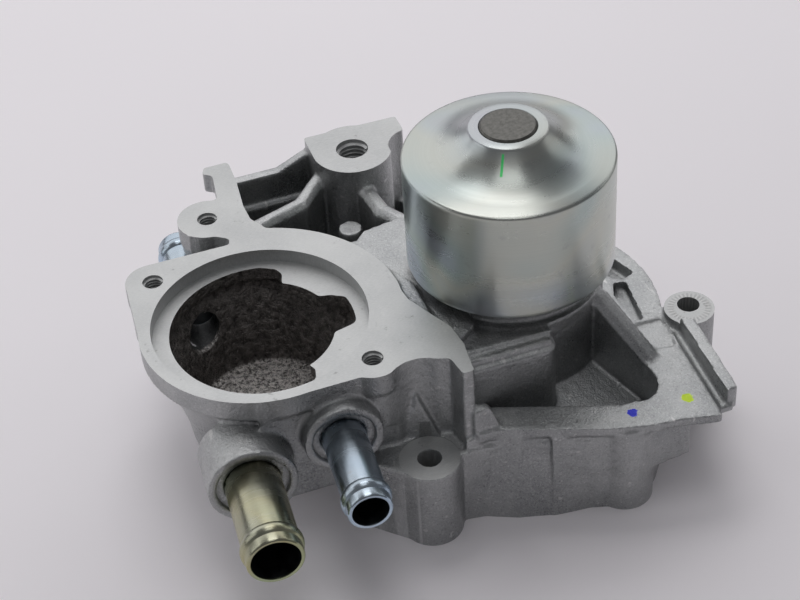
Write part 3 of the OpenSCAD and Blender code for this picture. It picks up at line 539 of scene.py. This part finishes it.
def paint_faces(mesh, tapped):
    """Gives each face of the housing its finish: as cast, milled, or the chamber's core skin with painted
    shade.
    """
    core_r, core_low_z = 28.6, 19
    middle, normal = face_data(mesh)
    x, y, z = middle.T
    from_thermo = np.hypot(x - THERMO[0], y - THERMO[1])
    flat = np.abs(normal[:, 2]) > 0.999
    milled = np.zeros(len(x), dtype=bool)
    for height in (PLATE_Z, SEAT_Z, BRACKET_Z, FRONT_BOSS_Z, LUG_Z, 0.0):
        milled |= flat & (np.abs(z - height) < NEAR)
    # The recess's wall, the tapped holes and the bolt holes
    milled |= (np.abs(from_thermo - SEAT_R) < 0.15) & (z > SEAT_Z - 0.01) & ~flat
    for hole in tapped:
        in_hole = np.hypot(x - hole.centre[0], y - hole.centre[1]) < hole.size.mouth_r + NEAR
        milled |= in_hole & (z > hole.face_z - hole.depth - 0.1)
    for centre in BOLT_BOSSES:
        milled |= np.hypot(x - centre[0], y - centre[1]) < BOLT_HOLE_R + NEAR
    # Inside the chamber, which ends halfway through the bowl's wall
    inside = from_thermo < np.interp(z, [h for _, h in BOWL], [r for r, _ in BOWL]) - BOWL_WALL / 2
    # The core faces get the core skin with painted shade, which makes the chamber dark where shade falls in it
    core = ~milled & inside & (from_thermo < core_r) & (z < SEAT_Z - 0.01) & (z > core_low_z)
    mesh.materials.clear()
    for name in ("cast_aluminium", "milled", "core"):
        mesh.materials.append(MATERIALS[name])
    mesh.polygons.foreach_set("material_index", (milled + 2 * core).astype(np.int32))


def tapped_holes():
    """Two cover screws, the belt cover's screw and the bracket's screw."""
    covers = [polar(THERMO, COVER_ANGLE + side, COVER_PCD / 2) for side in (0, 180)]
    holes = [TappedHole(centre, PLATE_Z, M6, 15) for centre in covers]
    return holes + [TappedHole(BELT_HOLE, PLATE_Z, M6, 8), TappedHole(BRACKET_HOLE, BRACKET_Z, M10, 24)]


def milling_cutters():
    """What the machine takes off above each flat face, and below the mounting face."""
    height = 6.0
    cover_plate = [(-125, -38), (-33.5, -38), (-33.5, -50), (-24, -50), (-24, -20), (-30, 0), (-32, 42),
                   (-60, 44), (-60, 90), (-125, 90)]
    bracket_pad = [(-42, 48), (-2, 48), (-2, 95), (-42, 95)]
    faces = [(cover_plate, PLATE_Z), (bracket_pad, BRACKET_Z), (circle_points(FRONT_BOSS, 8.6), FRONT_BOSS_Z),
             (circle_points(LUG_RING, 7.9), LUG_Z)]
    cutters = [prism("tool", outline, face_z, face_z + height) for outline, face_z in faces]
    return cutters + [prism("tool", [(-140, -90), (80, -90), (80, 110), (-140, 110)], -8, 0)]


def hole_cutters(tapped):
    """The thermostat recess, tapped holes and bolt holes."""
    above = 8
    cutters = [prism("tool", circle_points(THERMO, SEAT_R, 160), SEAT_Z, PLATE_Z + above)]
    cutters += [prism("tool", circle_points(hole.centre, hole.size.major_r, 64), hole.face_z - hole.depth,
                      hole.face_z + above) for hole in tapped]
    return cutters + [prism("tool", circle_points(centre, BOLT_HOLE_R, 48), -6, 60) for centre in BOLT_BOSSES]


def relief_cutter(socket):
    """The shallow ring recessed round a hose pipe."""
    low, high, flare, flared = -1.6, 0.4, 0.5, 2.5
    tool = lathe("tool", [(0, low), (socket.relief_r, low), (socket.relief_r, high),
                          (socket.relief_r + flare, flared), (0, flared)], 96)
    tool.transform(pipe_matrix(socket))
    return tool


def housing():
    blank = cast_blank()
    tapped = tapped_holes()
    reliefs = [relief_cutter(socket) for socket in (LARGE_SOCKET, SMALL_SOCKET, REAR_SOCKET)]
    cut(blank, milling_cutters() + hole_cutters(tapped) + reliefs)
    mesh = blank.data
    bm = bmesh.new()
    bm.from_mesh(mesh)
    for hole in tapped:
        bm.from_mesh(thread(hole))
    bm.to_mesh(mesh)
    bm.free()
    paint_faces(mesh, tapped)
    smooth(mesh, 40)
    blank.name = "housing_casting"
    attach(blank, "root")
    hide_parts("pump_housing")


# ---------------------------------------------------------------- turned pieces


def arc_points(start_r, start_z, radius, from_angle, to_angle, steps):
    """Points down a hollow flare that turns from one slope to another."""
    points = []
    first = math.radians(from_angle)
    for i in range(steps + 1):
        a = math.radians(from_angle + (to_angle - from_angle) * i / steps)
        points.append((start_r + radius * (math.sin(first) - math.sin(a)),
                       start_z - radius * (math.cos(a) - math.cos(first))))
    return points


def pulley():
    shaft_r, foot_z = 8.0, 80.0
    collar_r, collar_z = 11.1, 99.5
    steep, shallow = 46, 8
    flare_end_r = 26.5
    drop = math.sin(math.radians(steep)) - math.sin(math.radians(shallow))
    flare = arc_points(collar_r, collar_z - 0.5, (flare_end_r - collar_r) / drop, steep, shallow, 40)
    # The inside of the flare, from the rim back to the collar
    under = [(r - 0.4, z - 3.4) for r, z in reversed(flare[8:])]
    collar = [(shaft_r, foot_z), (shaft_r, 99.2), (8.3, collar_z), (10.7, collar_z), (11.0, 99.35)]
    shoulder = [(28.8, 90.62), (29.3, 90.52), (29.7, 90.33), (29.92, 90.1), (30.0, 89.8), (30.0, 89.0)]
    lower_rim = [(30.0, 57.0), (30.0, 56.2), (29.9, 55.9), (29.6, 55.65), (29.2, 55.55), (27.6, 55.6),
                 (27.1, 55.9), (27.0, 56.4)]
    inner_corner = [(27.0, under[0][1] - 1.5), (26.8, under[0][1] - 0.5)]
    hub_foot = [(12.4, foot_z + 0.6), (11.9, foot_z)]
    profile = collar + flare + shoulder + lower_rim + inner_corner + under + hub_foot
    piece = new_object("belt_pulley_turned", lathe("pulley", profile, 256))
    smooth(piece.data, 30)
    piece.data.materials.append(MATERIALS["zinc_steel"])
    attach(piece, "rotor")
    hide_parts("pulley")


def pipe_matrix(socket):
    """Stands a shape made along +Z in a socket, lying along +X turned round Z."""
    return (Matrix.Translation([c * MM for c in socket.place])
            @ Matrix.Rotation(math.radians(socket.turn), 4, "Z")
            @ Matrix.Rotation(math.radians(90), 4, "Y"))


def pipe(name, node, socket, out, slot_name):
    """A pressed hose pipe with a rolled bead, made along +Z. out is how far it stands out of its socket."""
    pressed_in = -12
    bead_out, bead_high, bead_half = 5, 0.8, 1.9
    radius = socket.radius
    inner = radius - PIPE_WALL
    bead_z = out - bead_out
    profile = [(inner, pressed_in), (radius - 0.4, pressed_in), (radius, -11.4), (radius, bead_z - bead_half)]
    profile += [(radius + bead_high * math.sin(math.pi * i / 12) ** 1.3,
                 bead_z - 1.8 * math.cos(math.pi * i / 12)) for i in range(1, 12)]
    profile += [(radius, bead_z + bead_half), (radius, out - 0.6), (radius - 0.12, out - 0.25),
                (radius - 0.4, out), (inner + 0.4, out), (inner + 0.1, out - 0.15), (inner, out - 0.5)]
    mesh = lathe(name, profile, 128)
    piece = new_object(name, mesh)
    piece.matrix_world = pipe_matrix(socket)
    bpy.context.view_layer.update()
    smooth(mesh, 35)
    mesh.materials.append(MATERIALS[slot_name])
    mesh.materials.append(MATERIALS["pipe_bore"])
    middle, _ = face_data(mesh)
    in_bore = (np.hypot(middle[:, 0], middle[:, 1]) < inner + 0.03) & (middle[:, 2] < out - 0.6)
    mesh.polygons.foreach_set("material_index", in_bore.astype(np.int32))
    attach(piece, "root")
    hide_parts(node)


def carried_over_nodes():
    """CAD nodes that keep their own shape get their node materials."""
    slots = {part["node"]: part["material_slot"] for part in frame["record"]["subparts"]}
    for name, obj in frame["nodes"].items():
        for holder in obj.material_slots:
            holder.material = MATERIALS[slots[name]]


# ---------------------------------------------------------------- stage


def camera():
    """Looks down on the pump from the front left, with a slight tilt of the frame."""
    place = Vector((-157.2, -396.8, 402.4)) * MM
    heading, down, roll = math.radians(17.2), math.radians(40.44), math.radians(-4.04)
    right = Vector((math.cos(heading), -math.sin(heading), 0))
    ahead = Vector((math.sin(heading) * math.cos(down), math.cos(heading) * math.cos(down), -math.sin(down)))
    up = right.cross(ahead)
    x = right * math.cos(roll) + up * math.sin(roll)
    y = up * math.cos(roll) - right * math.sin(roll)
    turn = Matrix((x, y, -ahead)).transposed()
    data = bpy.data.cameras.new("camera")
    data.lens = 85.64
    data.sensor_width = 36
    obj = bpy.data.objects.new("camera", data)
    obj.matrix_world = Matrix.Translation(place) @ turn.to_4x4()
    bpy.context.scene.collection.objects.link(obj)
    bpy.context.scene.camera = obj


def floor():
    side = 2500
    corners = [(-side, -side, 0), (side, -side, 0), (side, side, 0), (-side, side, 0)]
    mesh = mesh_from("floor", corners, [(0, 1, 2, 3)])
    obj = new_object("floor", mesh)
    mat, n, shader = material("backdrop")
    clouds = n.noise(n.object_space(), 3, detail=2)
    tone = n.mix(n.ramp(clouds, 0.3, 0.7), rgb(0.90, 0.87, 0.90), rgb(0.93, 0.90, 0.93))
    wire(n, shader, Base_Color=tone, Roughness=0.6)
    mesh.materials.append(mat)


def area_light(name, place, size, power, aim=(0, 0, 0.04), tint=(1, 1, 1)):
    """A panel of size (across, up) in metres, turned to face aim."""
    data = bpy.data.lights.new(name, "AREA")
    data.shape = "RECTANGLE"
    data.size, data.size_y = size
    data.energy = power
    data.color = tint
    obj = bpy.data.objects.new(name, data)
    obj.location = place
    obj.rotation_euler = (Vector(aim) - Vector(place)).to_track_quat("-Z", "Y").to_euler()
    bpy.context.scene.collection.objects.link(obj)


def lights():
    above = (0, 0, 0.05)
    area_light("softbox", (0.02, 0.36, 0.95), (0.5, 0.32), 1.5, above, (1.0, 0.985, 0.99))
    area_light("backdrop", (0.1, 1.2, 0.85), (3.0, 1.3), 14.5, above, (1.0, 0.99, 1.0))
    area_light("left_panel", (-1.1, 0.35, 0.6), (0.8, 0.9), 2.0)
    area_light("top_panel", (-0.05, -0.15, 1.3), (0.5, 0.5), 1.25)
    area_light("right_panel", (1.25, 0.2, 0.7), (0.7, 0.7), 0.9)
    world = bpy.data.worlds.new("studio")
    world.use_nodes = True
    background = world.node_tree.nodes["Background"]
    background.inputs["Color"].default_value = (0.93, 0.92, 0.96, 1)
    background.inputs["Strength"].default_value = 0.2
    bpy.context.scene.world = world
    bpy.context.scene.view_settings.view_transform = "Standard"


camera()
floor()
lights()
housing()
pulley()
pipe("large_front_pipe", "large_hose_pipe", LARGE_SOCKET, FRONT_PIPE_OUT, "yellow_zinc")
pipe("small_front_pipe", "small_hose_pipe", SMALL_SOCKET, FRONT_PIPE_OUT, "blue_zinc")
pipe("rear_pipe", "rear_hose_pipe", REAR_SOCKET, REAR_PIPE_OUT, "blue_zinc")
carried_over_nodes()
